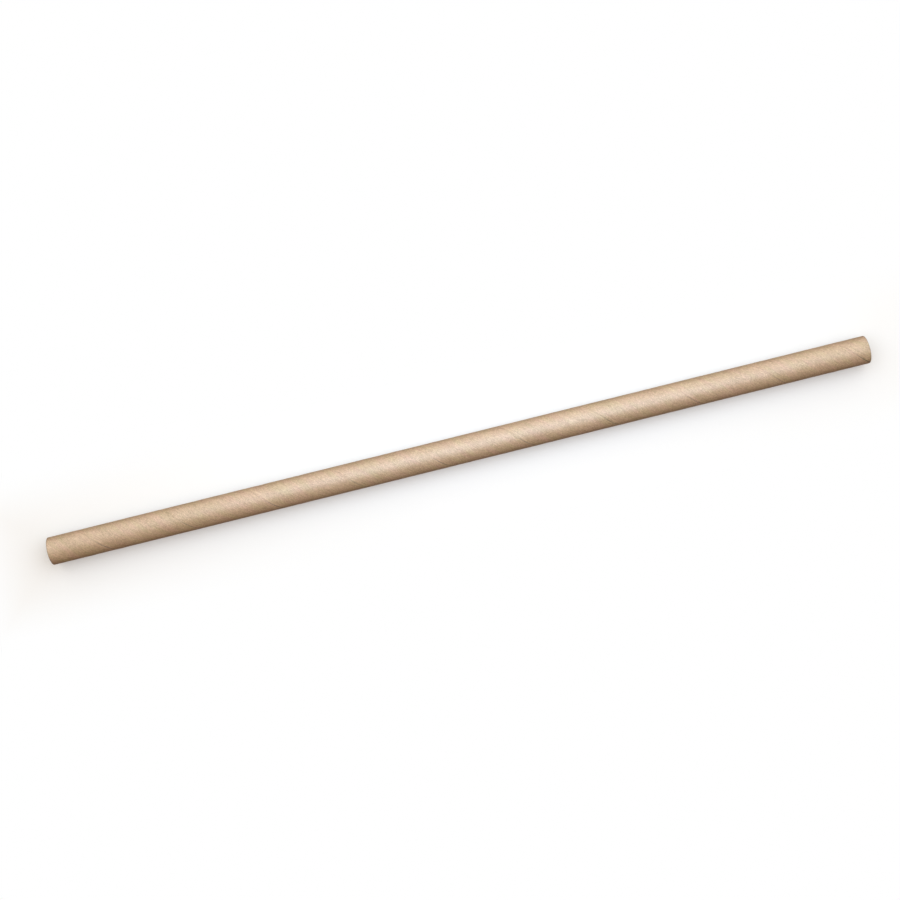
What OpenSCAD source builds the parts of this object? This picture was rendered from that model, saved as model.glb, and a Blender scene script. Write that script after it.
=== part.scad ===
// Spiral-wound paper drinking straw, lying on its side along X.
// The origin is on the surface it lies on, under the middle of the straw.

/* [Tube] */
// Length from cut end to cut end
straw_l = 197; // [120:1:260]
// Diameter of the bore, which is the size of the mandrel the paper is wound on
bore_d = 5.8; // [4:0.1:12]
// How far the soft wall is flattened along the line it lies on
rest_flat = 0.03; // [0.01:0.01:0.05]

/* [Paper] */
// Thickness of the inner ply
inner_ply_t = 0.15; // [0.08:0.01:0.3]
// Thickness of the middle ply
middle_ply_t = 0.15; // [0.08:0.01:0.3]
// Thickness of the outer ply
outer_ply_t = 0.1; // [0.06:0.01:0.2]

/* [Winding] */
// Length of straw that one turn of the winding covers
wind_lead = 20.2; // [14:0.1:40]
// Gap between the edges of the outer strip, square to the seam
outer_gap = 0.06; // [0.04:0.01:0.3]
// Gap between the edges of the inner strip, square to the seam
inner_gap = 0.3; // [0.1:0.05:0.4]
// Distance from the left end to the first place where the outer seam crosses the top
outer_seam_x = 11.2; // [0:0.1:20]
// Distance along the straw from the outer seam to the inner seam
inner_seam_shift = 10.1; // [4:0.1:16]

/* [Hidden] */
wall_t = inner_ply_t + middle_ply_t + outer_ply_t;
bore_r = bore_d / 2;
outer_r = bore_r + wall_t;
// Height of the tube's axis over the surface it lies on
axis_z = outer_r - rest_flat;
// Facets round the tube, and steps in each turn of a seam
tube_facets = 96;
turn_steps = 24;
// How far a cutter reaches past the surface it cuts
cut_margin = 0.2;
// A seam cutter is made of whole steps and runs past both ends of the tube
step_l = wind_lead / turn_steps;
seam_steps = ceil((straw_l + 2 * cut_margin) / step_l);
seam_l = seam_steps * step_l;

// Width of a seam round the tube, from its gap and the slope of the winding at that radius
function round_width(gap, r) = gap / cos(atan(2 * PI * r / wind_lead));

// Turn of the winding, in degrees, over a length of the straw
function turn_over(l) = 360 * l / wind_lead;

// Lays down what is built upright and centred on Z, with its X side uppermost and its top to the right
module lay_down() {
    translate([0, 0, axis_z])
        rotate([0, -90, 180])
            children();
}

// Right-handed helical cutter between two radii, which crosses the top of the tube at top_x from the left end
module seam_cutter(r_low, r_high, width, top_x) {
    start_turn = turn_over((straw_l - seam_l) / 2 - top_x);
    rotate([0, 0, start_turn])
        translate([0, 0, -seam_l / 2])
            linear_extrude(height = seam_l, twist = -turn_over(seam_l), slices = seam_steps)
                translate([r_low, -width / 2])
                    square([r_high - r_low, width]);
}

// Butt seam of the outer ply, an open groove as deep as that ply
module outer_seam() {
    seam_cutter(outer_r - outer_ply_t, outer_r + cut_margin,
                round_width(outer_gap, outer_r), outer_seam_x);
}

// Butt seam of the inner ply, open to the bore
module inner_seam() {
    seam_cutter(bore_r - cut_margin, bore_r + inner_ply_t,
                round_width(inner_gap, bore_r), outer_seam_x + inner_seam_shift);
}

// All that lies under the surface the straw rests on
module below_rest() {
    side = 2 * outer_r;
    translate([-straw_l / 2 - cut_margin, -outer_r, -side])
        cube([straw_l + 2 * cut_margin, side, side]);
}

// The glued wall of three plies, with square-cut open ends
module straw_tube() {
    color("tan")
        difference() {
            lay_down()
                difference() {
                    cylinder(r = outer_r, h = straw_l, center = true, $fn = tube_facets);
                    cylinder(r = bore_r, h = straw_l + 2 * cut_margin, center = true, $fn = tube_facets);
                    outer_seam();
                    inner_seam();
                }
            below_rest();
        }
}

straw_tube();
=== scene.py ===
import math

import bpy
import numpy as np
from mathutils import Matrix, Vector


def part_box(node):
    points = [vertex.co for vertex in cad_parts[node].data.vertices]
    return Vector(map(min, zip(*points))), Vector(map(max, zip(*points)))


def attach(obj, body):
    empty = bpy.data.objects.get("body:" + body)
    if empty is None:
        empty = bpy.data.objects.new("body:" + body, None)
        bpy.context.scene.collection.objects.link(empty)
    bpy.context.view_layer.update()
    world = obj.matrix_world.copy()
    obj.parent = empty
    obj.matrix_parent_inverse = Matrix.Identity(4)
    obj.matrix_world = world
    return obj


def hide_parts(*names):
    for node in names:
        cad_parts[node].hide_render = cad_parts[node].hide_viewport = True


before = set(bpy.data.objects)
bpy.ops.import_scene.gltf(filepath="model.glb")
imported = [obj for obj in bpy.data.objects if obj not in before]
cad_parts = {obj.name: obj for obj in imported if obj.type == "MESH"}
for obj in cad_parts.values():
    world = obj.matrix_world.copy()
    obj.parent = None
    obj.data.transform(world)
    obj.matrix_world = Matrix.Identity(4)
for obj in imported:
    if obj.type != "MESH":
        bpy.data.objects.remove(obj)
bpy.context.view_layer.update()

mm = 0.001

# Straw, in millimetres. Its length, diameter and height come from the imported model.
straw = {
    "innerPly": 0.15,
    "middlePly": 0.15,
    "outerPly": 0.10,
    "windLead": 20.2,  # length of straw that one turn of the winding covers
    "outerSeamX": 11.2,  # from the left end to where the outer seam first crosses the top
    "outerGap": 0.09,  # mean width of the outer seam, square to it
    "gapWander": 0.35,  # share by which that width wanders
    "gapPeriod": 3.1,  # length of straw between the values that it wanders through
    "gapSeed": 5,
    "seamDepth": 0.045,  # glue fills the rest of the outer ply's thickness
    "innerGap": 0.30,
    "innerDepth": 0.93,  # depth of the inner seam, as a share of the inner ply's thickness
    "lipRise": 0.014,  # how far the lifted edge of the strip stands up beside the seam
    "lipWidth": 0.30,
    "lipWander": 0.6,  # share by which that rise wanders
    "lipPeriod": 1.7,
    "lipSeed": 9,
    "lowLip": 0.6,  # height of the other edge, as a share of the lifted one
    "crease": 0.02,  # how far both edges turn down into the seam
    "creaseWidth": 0.03,
    "middleShift": 4.95,  # from the outer seam along the straw to the faint trough over the middle seam
    "middleDip": 0.010,
    "middleDipWidth": 0.42,
    "wave": 0.006,  # unevenness of the outside
    "waveCount": 26,
    "waveLength": 22.0,  # usual length of a wave
    "waveSeed": 3,
    "boreWave": 0.003,
    "boreWaveCount": 16,
    "boreWaveLength": 18.0,
    "boreWaveSeed": 4,
}

lowCorner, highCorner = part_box("straw_tube")
strawLength = (highCorner.x - lowCorner.x) / mm
halfLength = strawLength / 2
outerR = (highCorner.y - lowCorner.y) / 2 / mm
axisZ = highCorner.z / mm - outerR
boreR = outerR - straw["outerPly"] - straw["middlePly"] - straw["innerPly"]
turnPerMm = 2 * math.pi / straw["windLead"]
outerSlope = math.atan(turnPerMm * outerR)
boreSlope = math.atan(turnPerMm * boreR)


# values that wander smoothly between -1 and 1 along x, with a new one after each period
def wander(x, period, seed):
    start, span = -120, 400  # mm, so that the values reach well past both ends of the straw
    values = np.random.default_rng(seed).uniform(-1, 1, int(span / period) + 4)
    place = (np.asarray(x) - start) / period
    before = np.floor(place).astype(int)
    share = place - before
    share = share * share * (3 - 2 * share)
    return values[before] * (1 - share) + values[before + 1] * share


# gentle waves over the paper, in x (mm) and round the straw (radians), which close on themselves
def paperWaves(x, turn, count, length, seed):
    shortest = 0.3  # length of the shortest wave, as a share of the usual one
    mostRound = 4  # most waves in one turn
    draw = np.random.default_rng(seed)
    total = np.zeros(np.broadcast(x, turn).shape)
    for _ in range(count):
        along = draw.uniform(-2 * np.pi, 2 * np.pi) / (length * draw.uniform(shortest, 1))
        around = draw.integers(-mostRound, mostRound + 1)
        total = total + np.sin(along * x + around * turn + draw.uniform(0, 2 * np.pi))
    return total / math.sqrt(count / 2)


def hump(distance, width):
    return np.exp(-((distance / width) ** 2))


# angle of the outer seam at x, from straight down, growing towards +Y
def seamAngle(x):
    return math.pi + turnPerMm * (x + halfLength - straw["outerSeamX"])


# How finely the straw is modelled: lengths in mm, angles in degrees
grid = {
    "outerStep": 0.36,  # between rings of the outside
    "outerEnds": (0.012, 0.03, 0.09, 0.25),  # from a cut end to the rings close to it
    "boreStep": 0.85,
    "boreEnds": (0.02, 0.2, 0.5),
    "roundStep": 5.0,  # between points round the straw
    "keepApart": 1.3,  # least angle from such a point to the points at a seam
    "insideOuter": 0.72,  # points inside each seam, as a share of its half width
    "insideInner": 0.9,
    "inSeam": 0.95,  # a point nearer to the seam's middle than this share lies inside
    "besideOuter": (0.45, 1.5, 3.2),  # from a seam's edge to the points beside it
    "besideInner": (0.5, 1.8),
    "besideTrough": (1.2, 2.6, 4.2),  # from the middle of the trough
    "troughTurn": -90.0,  # from the outer seam round to the trough's points
    "followZone": 3.5,  # points this near the outer seam's edge move with it
    "followShare": 0.6,  # by this share of its move
    "sharpAngle": 38.0,  # keeps the seam's edges and the rims crisp
}


# angles from the outer seam, the same for every ring, and half the width of either seam
def pointsRound():
    gapHalf = math.degrees(straw["outerGap"] / 2 / math.cos(outerSlope) / outerR)
    innerHalf = math.degrees(straw["innerGap"] / 2 / math.cos(boreSlope) / boreR)
    outerSide = [0, grid["insideOuter"] * gapHalf, gapHalf]
    outerSide += [gapHalf + a for a in grid["besideOuter"]]
    innerSide = [0, grid["insideInner"] * innerHalf, innerHalf]
    innerSide += [innerHalf + a for a in grid["besideInner"]]
    troughSide = [0, *grid["besideTrough"]]
    halfTurn = 180  # from the outer seam to the inner one
    special = []
    for middle, side in ((0, outerSide), (grid["troughTurn"], troughSide), (halfTurn, innerSide)):
        for apart in side:
            special += [middle + apart, middle - apart]
    special = np.array([(a + 180) % 360 - 180 for a in special])
    plain = np.arange(-180, 180, grid["roundStep"])
    nearest = np.abs((plain[:, None] - special[None, :] + 180) % 360 - 180).min(1)
    angles = np.unique(np.round(np.concatenate([special, plain[nearest > grid["keepApart"]]]), 5))
    return np.radians(angles), math.radians(gapHalf), math.radians(innerHalf)


turns, gapHalf, innerHalf = pointsRound()
pointCount = len(turns)


# width of the outer seam along the straw, as a share of its mean
def gapShare(x):
    return 1 + straw["gapWander"] * wander(x, straw["gapPeriod"], straw["gapSeed"])[:, None]


# the points at the outer seam move in and out with its width
def spreadSeam(x):
    share = gapShare(x)
    near = np.abs(turns)[None, :]
    edge = gapHalf * 1.0001  # takes in the points on the edge, whose angles are rounded
    beside = (near > edge) & (near < gapHalf + math.radians(grid["followZone"]))
    shifted = np.where(near <= edge, near * share, near)
    shifted = np.where(beside, near + gapHalf * (share - 1) * grid["followShare"], shifted)
    return np.sign(turns)[None, :] * shifted


def outsideRadius(x, turn):
    edge = gapHalf * gapShare(x)
    fromEdge = np.maximum((np.abs(turn) - edge) * outerR * math.cos(outerSlope), 0)
    lip = straw["lipRise"] * (1 + straw["lipWander"] * wander(x, straw["lipPeriod"], straw["lipSeed"]))
    lip = lip[:, None] * np.where(turn < 0, 1.0, straw["lowLip"])
    rise = lip * hump(fromEdge, straw["lipWidth"]) - straw["crease"] * hump(fromEdge, straw["creaseWidth"])
    fromTrough = np.abs(turn + turnPerMm * straw["middleShift"]) * outerR * math.cos(outerSlope)
    dip = straw["middleDip"] * hump(fromTrough, straw["middleDipWidth"])
    waves = paperWaves(x[:, None], turn, straw["waveCount"], straw["waveLength"], straw["waveSeed"])
    sunk = np.where(np.abs(turn) < edge * grid["inSeam"], straw["seamDepth"], 0)
    return outerR + rise - dip + straw["wave"] * waves - sunk


def boreRadius(x, turn):
    fromSeam = math.pi - np.abs(turn)
    depth = np.where(fromSeam < innerHalf * grid["inSeam"], straw["innerPly"] * straw["innerDepth"], 0)
    count, length, seed = straw["boreWaveCount"], straw["boreWaveLength"], straw["boreWaveSeed"]
    return boreR + depth + straw["boreWave"] * paperWaves(x[:, None], turn, count, length, seed)


# places of the rings along x: a few close to each cut end, and even steps between
def ringPlaces(step, ends):
    inner = halfLength - ends[-1]
    middle = np.linspace(-inner, inner, int(round(2 * inner / step)) + 1)
    close = np.array(ends[:-1])
    return np.concatenate([close - halfLength, middle, halfLength - close[::-1]])


# Cut ends, in mm
cutEnd = {
    "outerRim": 0.035,  # how far the outer rim is softened
    "outerRimReach": 0.06,
    "boreRim": 0.02,
    "boreRimReach": 0.1,
    "rimCurve": 1.6,  # above 1, most of that lies close to the cut
    # rings at each glue line: depth from the line, and how far the paper stands back there
    "outerGlue": ((-0.055, 0.0), (-0.010, 0.004), (0.0, 0.020), (0.012, 0.004), (0.075, -0.004)),
    "innerGlue": ((-0.012, 0.004), (0.0, 0.020), (0.012, 0.004), (0.070, -0.004), (0.125, 0.002)),
    "leastStep": 0.0015,  # between the radii of neighbouring rings
    "trim": 0.0108,  # how far the cut stands back on average
    "fineFray": 0.00315,  # its unevenness from point to point
    "slowFray": 0.0036,  # and in waves round the end
    "slowWaves": 9,
    "rightSeed": 21,
    "leftSeed": 31,
}


# 1 at a cut end, falling to 0 at the distance that reach gives
def nearEnd(x, reach):
    return np.clip(1 - (halfLength - np.abs(x))[:, None] / reach, 0, 1) ** cutEnd["rimCurve"]


# rings of one cut end, from the outside in: radius, and place along x
def endRings(edgeOut, edgeIn, side, seed):
    outerLine = straw["outerPly"]
    innerLine = straw["outerPly"] + straw["middlePly"]
    section = [(outerLine + apart, back) for apart, back in cutEnd["outerGlue"]]
    section += [(innerLine + apart, back) for apart, back in cutEnd["innerGlue"]]
    ragged = np.random.default_rng(seed)
    slow = paperWaves(0.0, turns, cutEnd["slowWaves"], straw["waveLength"], seed + 1)
    radii, places = [], []
    for number, (depth, back) in enumerate(section):
        radius = np.minimum(outerR - depth, edgeOut - cutEnd["leastStep"] * (number + 1))
        radius = np.maximum(radius, edgeIn + cutEnd["leastStep"] * (len(section) - number))
        fray = ragged.uniform(-1, 1, pointCount) * cutEnd["fineFray"] + slow * cutEnd["slowFray"]
        radii.append(radius)
        places.append(side * (halfLength - back - cutEnd["trim"] - fray))
    return radii, places


# rings round the whole wall: along the outside, over the right end, back through the bore and over
# the left end. Each has its places, the place that sets its seam angle, its angles and its radii.
def buildStraw():
    outerX = ringPlaces(grid["outerStep"], grid["outerEnds"])
    boreX = ringPlaces(grid["boreStep"], grid["boreEnds"])[::-1]
    outerTurn = spreadSeam(outerX)
    boreTurn = np.tile(turns, (len(boreX), 1))
    outside = outsideRadius(outerX, outerTurn)
    outside = outside - cutEnd["outerRim"] * nearEnd(outerX, cutEnd["outerRimReach"])
    bore = boreRadius(boreX, boreTurn)
    bore = bore + cutEnd["boreRim"] * nearEnd(boreX, cutEnd["boreRimReach"])
    rings = []
    kinds = []  # kind and number of the strip of faces after each ring
    for i, x in enumerate(outerX):
        rings.append((np.full(pointCount, x), x, outerTurn[i], outside[i]))
        kinds.append(("outside", i))
    kinds[-1] = ("cut", 0)
    radii, places = endRings(outside[-1], bore[0], 1, cutEnd["rightSeed"])
    for i, (radius, place) in enumerate(zip(radii, places)):
        rings.append((place, halfLength, (outerTurn[-1] + turns) / 2, radius))
        kinds.append(("cut", i + 1))
    for i, x in enumerate(boreX):
        rings.append((np.full(pointCount, x), x, boreTurn[i], bore[i]))
        kinds.append(("bore", i))
    kinds[-1] = ("cut", 0)
    radii, places = endRings(outside[0], bore[-1], -1, cutEnd["leftSeed"])
    for i, (radius, place) in enumerate(zip(radii[::-1], places[::-1])):
        rings.append((place, -halfLength, (outerTurn[0] + turns) / 2, radius))
        kinds.append(("cut", i + 1))
    points = np.empty((len(rings), pointCount, 3))
    for j, (place, seamPlace, turn, radius) in enumerate(rings):
        angle = seamAngle(seamPlace) + turn
        points[j, :, 0] = place
        points[j, :, 1] = radius * np.sin(angle)
        points[j, :, 2] = np.maximum(axisZ - radius * np.cos(angle), 0)  # flat where the straw lies
    return points, kinds


# Map of the surface, in shares of its width and height
layout = {
    "bands": 4,  # strips that each long face is laid out in
    "bandHeight": 0.2,
    "bandWidth": 0.492,
    "margin": 0.004,
    "boreLeft": 0.5,
    "endCentres": {1: (0.12, 0.90), -1: (0.32, 0.90)},  # right and left end
    "endRadius": 0.088,
}


# the surface laid out flat: the outside at the left, the bore at the right, the cut ends above
def mapCorners(points, kinds):
    share = np.append((turns + math.pi) / (2 * math.pi), 1.0)
    share = share - share[0]
    share[-1] = 1.0
    corners = np.zeros((len(kinds), pointCount, 4, 2))
    names = [kind for kind, _ in kinds]
    margin = layout["margin"]
    for j, (kind, i) in enumerate(kinds):
        after = (j + 1) % len(kinds)
        if kind == "cut":
            side = 1 if points[j, 0, 0] > 0 else -1
            centreX, centreY = layout["endCentres"][side]
            scale = layout["endRadius"] / outerR
            for c, (ring, k) in enumerate(((j, 0), (j, 1), (after, 1), (after, 0))):
                index = (np.arange(pointCount) + k) % pointCount
                corners[j, :, c, 0] = centreX + side * points[ring, index, 1] * scale
                corners[j, :, c, 1] = centreY + (points[ring, index, 2] - axisZ) * scale
            continue
        perBand = math.ceil(names.count(kind) / layout["bands"])
        band = i // perBand
        left, height = margin, layout["bandHeight"] - 2 * margin
        if kind == "bore":
            left, height = layout["boreLeft"] + margin, height * boreR / outerR
        low = band * layout["bandHeight"] + margin
        for c, (step, k) in enumerate(((0, 0), (0, 1), (1, 1), (1, 0))):
            corners[j, :, c, 0] = left + layout["bandWidth"] * (i - band * perBand + step) / perBand
            corners[j, :, c, 1] = low + height * share[k:pointCount + k]
    return corners


# each ring is joined to the next, and the last one to the first
def meshFromRings(name, points, kinds, materials):
    index = np.arange(len(kinds) * pointCount).reshape(len(kinds), pointCount)
    after = np.roll(index, -1, 0)
    faces = np.stack([index, np.roll(index, -1, 1), np.roll(after, -1, 1), after], -1).reshape(-1, 4)
    mesh = bpy.data.meshes.new(name)
    mesh.vertices.add(index.size)
    mesh.vertices.foreach_set("co", (points * mm).reshape(-1).astype(np.float32))
    mesh.loops.add(faces.size)
    mesh.loops.foreach_set("vertex_index", faces.reshape(-1).astype(np.int32))
    mesh.polygons.add(len(faces))
    mesh.polygons.foreach_set("loop_start", np.arange(0, faces.size, 4, dtype=np.int32))
    slots = np.repeat([list(materials).index(kind) for kind, _ in kinds], pointCount)
    mesh.polygons.foreach_set("material_index", slots.astype(np.int32))
    mesh.update(calc_edges=True)
    surfaceMap = mesh.uv_layers.new(name="OFBake")
    surfaceMap.data.foreach_set("uv", mapCorners(points, kinds).reshape(-1).astype(np.float32))
    mesh.validate()
    mesh.shade_smooth()
    mesh.set_sharp_from_angle(angle=math.radians(grid["sharpAngle"]))
    for material in materials.values():
        mesh.materials.append(material)
    piece = bpy.data.objects.new(name, mesh)
    bpy.context.scene.collection.objects.link(piece)
    return piece


# small helpers for the materials
def emptyMaterial(name):
    material = bpy.data.materials.new(name)
    material.use_nodes = True
    material.node_tree.nodes.clear()
    return material


def put(tree, kind, **settings):
    node = tree.nodes.new(kind)
    for name, value in settings.items():
        setattr(node, name, value)
    return node


def give(tree, socket, value):
    if isinstance(value, bpy.types.NodeSocket):
        tree.links.new(value, socket)
    else:
        socket.default_value = value


def calc(tree, operation, first, second=0.0, third=0.0):
    node = put(tree, "ShaderNodeMath", operation=operation)
    for socket, value in zip(node.inputs, (first, second, third)):
        give(tree, socket, value)
    return node.outputs[0]


def partsOf(tree, place):
    parts = put(tree, "ShaderNodeSeparateXYZ")
    give(tree, parts.inputs[0], place)
    return parts.outputs


def objectPlace(tree):
    return put(tree, "ShaderNodeTexCoord").outputs["Object"]


def spread(tree, value, low, high, toLow, toHigh):
    node = put(tree, "ShaderNodeMapRange", interpolation_type="SMOOTHSTEP")
    for socket, number in zip(node.inputs, (value, low, high, toLow, toHigh)):
        give(tree, socket, number)
    return node.outputs[0]


def noiseOf(tree, place, stretch, detail, roughness):
    scaled = put(tree, "ShaderNodeVectorMath", operation="MULTIPLY")
    give(tree, scaled.inputs[0], place)
    scaled.inputs[1].default_value = stretch
    noise = put(tree, "ShaderNodeTexNoise")
    give(tree, noise.inputs["Vector"], scaled.outputs[0])
    noise.inputs["Scale"].default_value = 1.0
    noise.inputs["Detail"].default_value = detail
    noise.inputs["Roughness"].default_value = roughness
    return noise.outputs["Fac"]


def rampOf(tree, value, stops):
    ramp = put(tree, "ShaderNodeValToRGB")
    elements = ramp.color_ramp.elements
    while len(elements) < len(stops):
        elements.new(0.5)
    for element, (position, colour) in zip(elements, stops):
        element.position = position
        element.color = (*colour, 1)
    give(tree, ramp.inputs[0], value)
    return ramp.outputs[0]


# one of two colours, or a blend of both
def chosen(tree, share, first, second, blend="MIX"):
    mix = put(tree, "ShaderNodeMix", data_type="RGBA", blend_type=blend)
    give(tree, mix.inputs["Factor"], share)
    sockets = [s for s in mix.inputs if s.type == "RGBA"]
    give(tree, sockets[0], first)
    give(tree, sockets[1], second)
    return [s for s in mix.outputs if s.type == "RGBA"][0]


def tinted(tree, colour, factor):
    return chosen(tree, 1.0, colour, factor, "MULTIPLY")


# a colour times a number
def shaded(tree, colour, shade):
    grey = put(tree, "ShaderNodeCombineXYZ")
    for socket in grey.inputs:
        give(tree, socket, shade)
    return tinted(tree, colour, grey.outputs[0])


# the paper unwound, in mm: x along the straw, with the outer seam always on top
def unwound(tree):
    shifted = put(tree, "ShaderNodeVectorMath", operation="MULTIPLY_ADD")
    give(tree, shifted.inputs[0], objectPlace(tree))
    shifted.inputs[1].default_value = (1 / mm, 1 / mm, 1 / mm)
    shifted.inputs[2].default_value = (0, 0, -axisZ)
    seamStart = straw["outerSeamX"] - halfLength
    fromStart = calc(tree, "SUBTRACT", partsOf(tree, shifted.outputs[0])[0], seamStart)
    turned = put(tree, "ShaderNodeVectorRotate", rotation_type="X_AXIS")
    give(tree, turned.inputs["Vector"], shifted.outputs[0])
    give(tree, turned.inputs["Angle"], calc(tree, "MULTIPLY", fromStart, -turnPerMm))
    return turned.outputs[0]


# Kraft paper, as all faces of the straw have it. Colours are linear.
paper = {
    "dark": (0.260, 0.172, 0.0925),
    "base": (0.454, 0.3305, 0.2015),
    "light": (0.665, 0.530, 0.372),
    # layers of noise that make it lighter and darker: how fine they are along and across the
    # winding, per mm, and how much each adds to the tone and to the relief
    "layers": {
        "fibre": {"along": 0.40, "across": 3.4, "detail": 2.0, "rough": 0.6, "tone": 0.55, "relief": 0.35},
        "fine": {"along": 1.7, "across": 6.5, "detail": 2.0, "rough": 0.6, "tone": 1.24, "relief": 0.45},
        "grain": {"along": 4.2, "across": 4.2, "detail": 3.0, "rough": 0.6, "tone": 1.62, "relief": 0.20},
        "cloud": {"along": 0.16, "across": 0.42, "detail": 2.0, "rough": 0.55, "tone": 0.29, "relief": 0.0},
    },
    "pinkTint": (1.070, 0.966, 1.050),  # two tints in patches drawn out along the winding
    "strawTint": (0.958, 1.015, 0.868),
    "pinkUpTo": 0.3,  # noise values between which one tint turns into the other
    "strawFrom": 0.7,
    "tintStretch": (0.24, 0.5, 0.5),
    "tintDetail": 4.0,
    "tintRough": 0.62,
    "waxRoughness": 0.52,  # of the sizing that gives the outside its broad soft sheen
    "waxIor": 2.2,
    "fuzzRoughness": 0.5,
    "bump": 0.60,
    "bumpDepth": 0.05,  # mm
}


# tone and relief of the paper, and its fine layer alone
def paperTone(tree, place):
    tone, relief = 0.5, 0.0
    for name, layer in paper["layers"].items():
        stretch = (layer["along"], layer["across"], layer["across"])
        noise = noiseOf(tree, place, stretch, layer["detail"], layer["rough"])
        apart = calc(tree, "MULTIPLY", calc(tree, "SUBTRACT", noise, 0.5), layer["tone"])
        tone = calc(tree, "ADD", apart, tone)
        if layer["relief"]:
            relief = calc(tree, "MULTIPLY_ADD", noise, layer["relief"], relief)
        if name == "fine":
            fine = noise
    return tone, relief, fine


def paperColour(tree, place, tone):
    colour = rampOf(tree, tone, ((0, paper["dark"]), (0.5, paper["base"]), (1, paper["light"])))
    noise = noiseOf(tree, place, paper["tintStretch"], paper["tintDetail"], paper["tintRough"])
    tints = ((paper["pinkUpTo"], paper["pinkTint"]), (paper["strawFrom"], paper["strawTint"]))
    return tinted(tree, colour, rampOf(tree, noise, tints))


def finishPaper(material, colour, roughness, relief, finish):
    tree = material.node_tree
    shader = put(tree, "ShaderNodeBsdfPrincipled")
    give(tree, shader.inputs["Base Color"], colour)
    give(tree, shader.inputs["Roughness"], roughness)
    shader.inputs["Specular IOR Level"].default_value = finish["specular"]
    shader.inputs["Coat Weight"].default_value = finish["wax"]
    shader.inputs["Coat Roughness"].default_value = paper["waxRoughness"]
    shader.inputs["Coat IOR"].default_value = paper["waxIor"]
    shader.inputs["Sheen Weight"].default_value = finish["fuzz"]
    shader.inputs["Sheen Roughness"].default_value = paper["fuzzRoughness"]
    bump = put(tree, "ShaderNodeBump")
    bump.inputs["Strength"].default_value = paper["bump"]
    bump.inputs["Distance"].default_value = paper["bumpDepth"] * mm
    give(tree, bump.inputs["Height"], relief)
    give(tree, shader.inputs["Normal"], bump.outputs[0])
    give(tree, put(tree, "ShaderNodeOutputMaterial").inputs[0], shader.outputs[0])


# the finish's own roughness, which changes with the tone
def roughnessBy(tree, tone, finish):
    apart = calc(tree, "SUBTRACT", tone, 0.5)
    return calc(tree, "MULTIPLY_ADD", apart, finish["byTone"], finish["roughness"])


# Outside of the straw: lengths in mm, shades as factors on the colour
outsideFinish = {
    "roughness": 0.62,
    "byTone": -0.35,  # paler paper is a little smoother
    "specular": 1.0,
    "wax": 1.0,
    "fuzz": 0.05,  # sheen of the loose fibres
    # painted shade in the outer seam's groove, full on the straw's shaded side towards the picture's foot
    "seamShade": 0.40,
    "seamCore": 0.9,  # share of the outer seam's half width that has the full shade
    "seamFade": 0.10,  # from its edge to where the shade has faded out
    "seamFaint": 0.05,  # share of the seam's painted shade that is left on the lit side, away from the picture's foot
    "fullUpTo": -0.6,  # places across the straw, as shares of its radius
    "faintFrom": 0.1,
    "patchStretch": (0.11, 0.3, 0.3),  # the seam's painted shade is stronger in some patches than in others
    "patchDetail": 1.0,
    "patchRough": 0.55,
    "patchRange": (0.35, 0.65),
    "patchStrength": (1.2, 0.7),  # at the low and the high end of that range
    # faint lines that run with the winding: paler lines beside the outer seam, painted shade along both
    # edges of the trough, and a pale line near the inner seam. Shift is from the outer seam along the
    # straw, aside is from there to the line on either side, and the shade fades out between core and fade.
    "lines": {
        "lip": {"shift": 0.0, "aside": 0.45, "core": 0.08, "fade": 0.34, "shade": 1.06},
        # painted shade at the trough's edges
        "trough": {"shift": straw["middleShift"], "aside": 0.37, "core": 0.03, "fade": 0.17, "shade": 0.93},
        "pale": {"shift": 9.6, "aside": 0.0, "core": 0.10, "fade": 0.35, "shade": 1.03},
    },
    "rimShade": 0.46,  # a thin darker band along each cut end
    "rimCore": 0.15,
    "rimFade": 0.42,
    "rimRagged": 0.3,
}


# distance on the outside from a line that runs with the winding, square to it, in mm
def windArc(tree, place, shift):
    parts = partsOf(tree, place)
    angle = calc(tree, "ARCTAN2", calc(tree, "MULTIPLY", parts[1], -1.0), parts[2])
    apart = calc(tree, "ABSOLUTE", calc(tree, "ADD", angle, turnPerMm * shift))
    return calc(tree, "MULTIPLY", apart, outerR * math.cos(outerSlope))


def lineShade(tree, place, line):
    apart = calc(tree, "SUBTRACT", windArc(tree, place, line["shift"]), line["aside"])
    apart = calc(tree, "ABSOLUTE", apart)
    return spread(tree, apart, line["core"], line["fade"], line["shade"], 1.0)


# painted shade in the outer seam's groove: full on the shaded side towards the picture's foot, faint on the
# lit side
def seamShade(tree, place):
    look = outsideFinish
    noise = noiseOf(tree, place, look["patchStretch"], look["patchDetail"], look["patchRough"])
    patchy = spread(tree, noise, *look["patchRange"], *look["patchStrength"])
    across = partsOf(tree, objectPlace(tree))[1]
    fullUpTo, faintFrom = look["fullUpTo"] * outerR * mm, look["faintFrom"] * outerR * mm
    shadedSide = spread(tree, across, fullUpTo, faintFrom, 1.0, look["seamFaint"])
    strength = calc(tree, "MULTIPLY", patchy, shadedSide)
    shade = calc(tree, "MULTIPLY_ADD", strength, look["seamShade"] - 1, 1.0)
    half = straw["outerGap"] / 2
    core, fade = half * look["seamCore"], half + look["seamFade"]
    return spread(tree, windArc(tree, place, 0.0), core, fade, shade, 1.0)


def rimShade(tree, fine):
    look = outsideFinish
    along = partsOf(tree, objectPlace(tree))[0]
    fromEnd = calc(tree, "SUBTRACT", halfLength * mm, calc(tree, "ABSOLUTE", along))
    ragged = calc(tree, "MULTIPLY_ADD", fine, look["rimRagged"] * mm, fromEnd)
    return spread(tree, ragged, look["rimCore"] * mm, look["rimFade"] * mm, look["rimShade"], 1.0)


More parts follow.
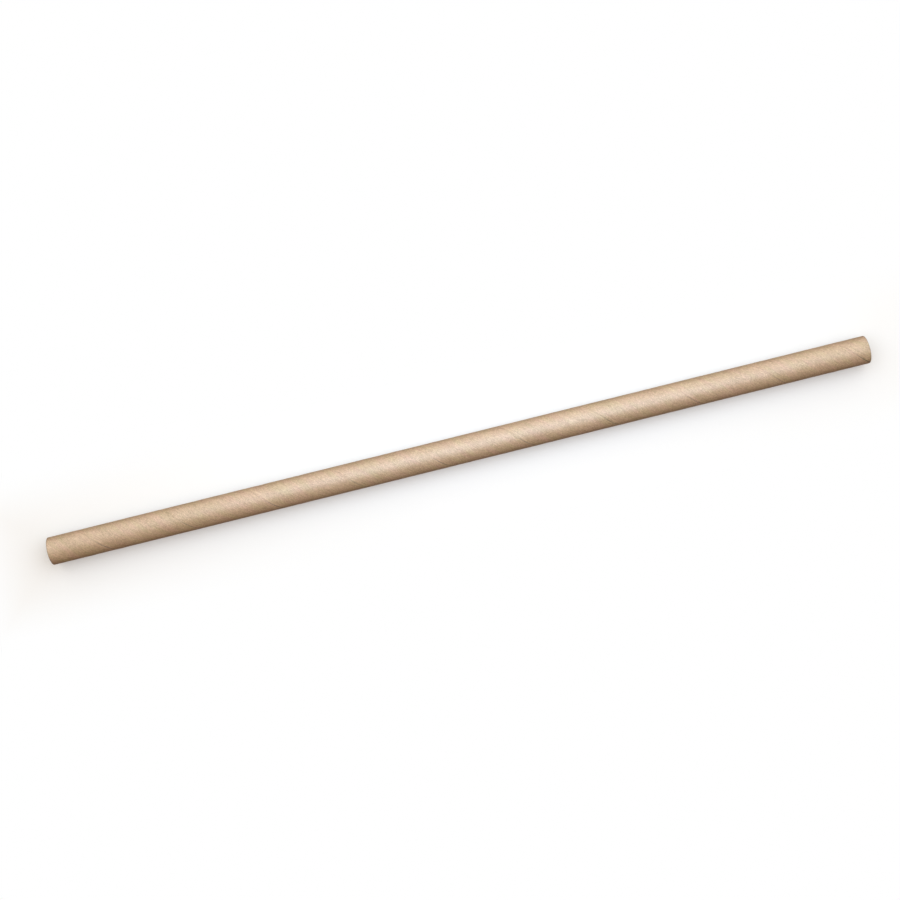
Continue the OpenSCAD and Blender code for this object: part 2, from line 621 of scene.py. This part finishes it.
def makeOuterPaper():
    material = emptyMaterial("kraftPaperOutside")
    tree = material.node_tree
    place = unwound(tree)
    tone, relief, fine = paperTone(tree, place)
    # painted shade in the seam and along the trough's edges, paler lines beside the seam, and a darker band
    # at the cut ends
    shade = seamShade(tree, place)
    for line in outsideFinish["lines"].values():
        shade = calc(tree, "MULTIPLY", lineShade(tree, place, line), shade)
    shade = calc(tree, "MULTIPLY", rimShade(tree, fine), shade)
    colour = shaded(tree, paperColour(tree, place, tone), shade)
    finishPaper(material, colour, roughnessBy(tree, tone, outsideFinish), relief, outsideFinish)
    return material


# Inside of the straw
boreFinish = {"roughness": 0.65, "byTone": 0.2, "specular": 0.4, "wax": 0.0, "fuzz": 0.1}


def makeBorePaper():
    material = emptyMaterial("kraftPaperBore")
    tree = material.node_tree
    place = unwound(tree)
    tone, relief, fine = paperTone(tree, place)
    colour = paperColour(tree, place, tone)
    finishPaper(material, colour, roughnessBy(tree, fine, boreFinish), relief, boreFinish)
    return material


# Cut ends and their glue lines: lengths in mm, the shade as a factor on the colour
cutFinish = {
    "roughness": 0.8,
    "specular": 0.3,
    "wax": 0.0,
    "fuzz": 0.3,
    "paler": 0.05,  # added to the tone
    "glueShade": 0.62,
    "glueCore": 0.004,
    "glueFade": 0.03,
    "glueWander": 0.03,
}


# the cut shows the three plies as pale fuzzy bands with darker glue lines between them
def makeCutPaper():
    material = emptyMaterial("kraftPaperCut")
    tree = material.node_tree
    place = unwound(tree)
    tone, relief, fine = paperTone(tree, place)
    colour = paperColour(tree, place, calc(tree, "ADD", tone, cutFinish["paler"]))
    section = put(tree, "ShaderNodeVectorMath", operation="MULTIPLY")
    give(tree, section.inputs[0], place)
    section.inputs[1].default_value = (0, 1, 1)
    fromAxis = put(tree, "ShaderNodeVectorMath", operation="LENGTH")
    give(tree, fromAxis.inputs[0], section.outputs[0])
    apart = calc(tree, "SUBTRACT", fine, 0.5)
    radius = calc(tree, "MULTIPLY_ADD", apart, cutFinish["glueWander"], fromAxis.outputs["Value"])
    shade = 1.0
    for glueRadius in (outerR - straw["outerPly"], boreR + straw["innerPly"]):
        near = calc(tree, "ABSOLUTE", calc(tree, "SUBTRACT", radius, glueRadius))
        glue = spread(tree, near, cutFinish["glueCore"], cutFinish["glueFade"], cutFinish["glueShade"], 1.0)
        shade = calc(tree, "MULTIPLY", glue, shade)
    finishPaper(material, shaded(tree, colour, shade), cutFinish["roughness"], relief, cutFinish)
    return material


def makeStraw():
    points, kinds = buildStraw()
    materials = {"outside": makeOuterPaper(), "bore": makeBorePaper(), "cut": makeCutPaper()}
    piece = meshFromRings("strawTube", points, kinds, materials)
    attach(piece, "root")
    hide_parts("straw_tube")
    triangles = len(piece.data.polygons) * 2
    print("straw:", triangles, "triangles,", pointCount, "points round,", len(kinds), "rings")


# Floor: linear colours, lengths in mm
floorLook = {
    "size": 4000.0,
    "drop": 0.01,  # keeps it clear of the straw's flat underside
    "colour": (0.07, 0.035, 0.02),  # for the light that it throws back up on the straw
    "seenColour": (0.89, 0.95, 0.99),  # for the camera
    "clearNear": 0.25,  # share of plain white beside the straw
    "clearFrom": 4.0,  # from the straw to where that share starts to grow
    "clearTo": 20.0,  # and to where all is plain white
}


def makeFloor():
    half = floorLook["size"] / 2 * mm
    corners = [(-half, -half, 0), (half, -half, 0), (half, half, 0), (-half, half, 0)]
    mesh = bpy.data.meshes.new("studioFloor")
    mesh.from_pydata(corners, [], [(0, 1, 2, 3)])
    floor = bpy.data.objects.new("studioFloor", mesh)
    floor.location.z = -floorLook["drop"] * mm
    bpy.context.scene.collection.objects.link(floor)
    material = emptyMaterial("paleFloor")
    tree = material.node_tree
    seen = put(tree, "ShaderNodeLightPath").outputs["Is Camera Ray"]
    colour = chosen(tree, seen, (*floorLook["colour"], 1), (*floorLook["seenColour"], 1))
    shader = put(tree, "ShaderNodeBsdfDiffuse")
    give(tree, shader.inputs["Color"], colour)
    parts = partsOf(tree, objectPlace(tree))
    pastEnd = calc(tree, "SUBTRACT", calc(tree, "ABSOLUTE", parts[0]), halfLength * mm)
    apart = calc(tree, "MAXIMUM", calc(tree, "ABSOLUTE", parts[1]), pastEnd)
    clearFrom, clearTo = floorLook["clearFrom"] * mm, floorLook["clearTo"] * mm
    clear = spread(tree, apart, clearFrom, clearTo, floorLook["clearNear"], 1.0)
    white = put(tree, "ShaderNodeEmission")
    both = put(tree, "ShaderNodeMixShader")
    give(tree, both.inputs[0], calc(tree, "MULTIPLY", clear, seen))
    give(tree, both.inputs[1], shader.outputs[0])
    give(tree, both.inputs[2], white.outputs[0])
    give(tree, put(tree, "ShaderNodeOutputMaterial").inputs[0], both.outputs[0])
    mesh.materials.append(material)


# The photo's view, from above: lengths in mm, angles in degrees
camera = {
    "height": 320.0,  # over the straw's axis
    "lens": 54.54,
    "overX": -1.935,  # the point that it hangs over
    "overY": 0.56,
    "turn": -13.90,  # so that the straw rises to the right
    "nearest": 10.0,  # anything nearer is cut off
}


def makeCamera():
    data = bpy.data.cameras.new("photoCamera")
    data.lens = camera["lens"]
    data.clip_start = camera["nearest"] * mm
    eye = bpy.data.objects.new("photoCamera", data)
    eye.location = (camera["overX"] * mm, camera["overY"] * mm, (axisZ + camera["height"]) * mm)
    eye.rotation_euler = (0, 0, math.radians(camera["turn"]))
    bpy.context.scene.collection.objects.link(eye)
    bpy.context.scene.camera = eye


# direction towards the picture's top, lifted off the floor by an angle in degrees
def towardsTop(rise):
    turn = math.radians(camera["turn"])
    rise = math.radians(rise)
    return Vector((-math.sin(turn), math.cos(turn), 0)) * math.cos(rise) + Vector((0, 0, math.sin(rise)))


# Lamp over the straw: lengths in mm, power in watts
lampLook = {
    "distance": 125.0,
    "tilt": 12.0,  # degrees from straight up, towards the picture's top
    "shift": 14.0,  # to the right along the straw
    "length": 200.0,  # along the picture's foot
    "width": 146.0,
    "power": 0.0925,
    "colour": (0.785, 0.955, 1.16),
}


def makeLamp():
    way = towardsTop(90 - lampLook["tilt"])
    data = bpy.data.lights.new("keyLamp", "AREA")
    data.shape = "ELLIPSE"
    data.size = lampLook["length"] * mm
    data.size_y = lampLook["width"] * mm
    data.energy = lampLook["power"]
    data.color = lampLook["colour"]
    lamp = bpy.data.objects.new("keyLamp", data)
    lamp.location = Vector((lampLook["shift"] * mm, 0, 0)) + way * lampLook["distance"] * mm
    lamp.rotation_euler = way.to_track_quat("Z", "Y").to_euler()
    bpy.context.scene.collection.objects.link(lamp)


# Soft light from all round, which grows from the picture's foot to its top
skyLook = {
    "low": (0.11, 0.072, 0.048),
    "middle": (0.505, 0.345, 0.238),
    "top": (1.36, 1.22, 1.07),
    "lowUpTo": 0.1,  # places of the three on the way from the darkest side to the brightest
    "middleAt": 0.45,
    "topFrom": 0.9,
    "rise": 30.0,  # degrees from the floor up to the brightest side
}


# the camera sees plain white in its place
def makeSky():
    world = bpy.data.worlds.new("studioWorld")
    bpy.context.scene.world = world
    world.use_nodes = True
    tree = world.node_tree
    tree.nodes.clear()
    towards = put(tree, "ShaderNodeVectorMath", operation="DOT_PRODUCT")
    give(tree, towards.inputs[0], put(tree, "ShaderNodeTexCoord").outputs["Generated"])
    towards.inputs[1].default_value = towardsTop(skyLook["rise"])
    share = calc(tree, "MULTIPLY_ADD", towards.outputs["Value"], 0.5, 0.5)
    stops = (("lowUpTo", "low"), ("middleAt", "middle"), ("topFrom", "top"))
    sky = rampOf(tree, share, [(skyLook[place], skyLook[colour]) for place, colour in stops])
    seen = put(tree, "ShaderNodeLightPath").outputs["Is Camera Ray"]
    light = put(tree, "ShaderNodeBackground")
    give(tree, light.inputs["Color"], chosen(tree, seen, sky, (1, 1, 1, 1)))
    give(tree, put(tree, "ShaderNodeOutputWorld").inputs[0], light.outputs[0])


bpy.context.scene.view_settings.view_transform = "Standard"
makeStraw()
makeFloor()
makeCamera()
makeLamp()
makeSky()
print("studio: floor, camera and lamp in place")
